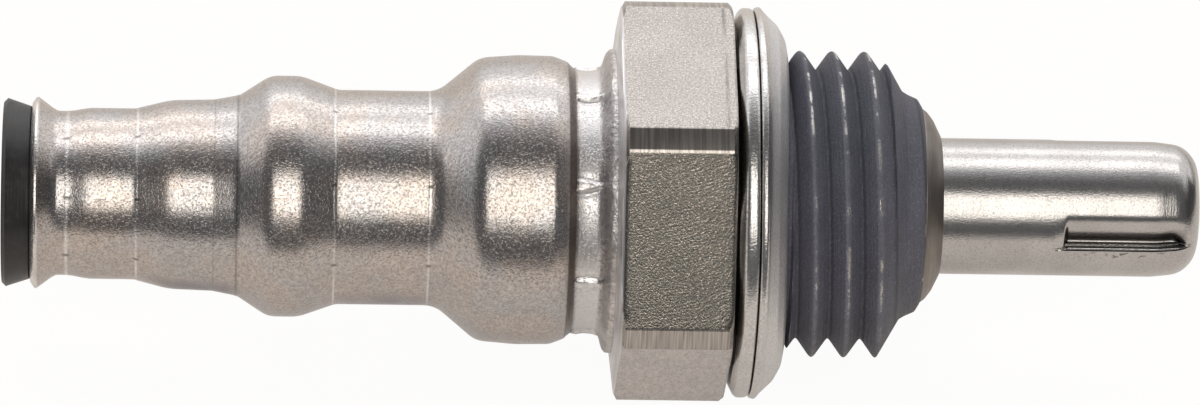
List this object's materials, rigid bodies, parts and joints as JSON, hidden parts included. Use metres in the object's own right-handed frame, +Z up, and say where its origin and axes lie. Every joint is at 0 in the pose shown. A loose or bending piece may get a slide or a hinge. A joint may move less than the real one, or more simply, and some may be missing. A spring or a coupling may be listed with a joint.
{
  "type": "oxygen sensor",
  "caption": "Screw-in exhaust oxygen sensor with a hexagonal shell, folded gasket, crimped sleeve, lead grommet and louvred protection tube.",
  "frame": {"origin": "where the sensor's axis meets the hexagon's sealing face", "axes": "+X along the axis towards the sensing tip, +Z up, one flat of the hexagon facing down"},
  "size_m": [0.0462, 0.0156, 0.0152],
  "materials": {
    "shell_steel": "satin, dark coated thread",
    "gasket_steel": "satin",
    "tube_steel": "drawn, smooth",
    "sleeve_steel": "drawn, fine matt grain",
    "grommet_rubber": "satin black",
    "element_ceramic": "matt",
    "insulator_ceramic": "matt",
    "talc": "pressed powder",
    "inner_sheet": "plain",
    "contact_alloy": "plain"
  },
  "bodies": {
    "root": {"sensor_shell": "shell_steel", "sealing_gasket": "gasket_steel", "protection_tube": "tube_steel", "outer_sleeve": "sleeve_steel", "lead_grommet": "grommet_rubber", "sensor_element": "element_ceramic", "packing_cup": "inner_sheet", "front_insulator": "insulator_ceramic", "front_talc": "talc", "rear_talc": "talc", "rear_insulator": "insulator_ceramic", "packing_ring": "inner_sheet", "upper_contact_holder": "insulator_ceramic", "lower_contact_holder": "insulator_ceramic", "holder_ring": "inner_sheet", "cone_spring": "inner_sheet", "signal_contact_a": "contact_alloy", "signal_contact_b": "contact_alloy", "heater_contact_a": "contact_alloy", "heater_contact_b": "contact_alloy", "lead_insulator": "insulator_ceramic"}
  },
  "joints": []
}
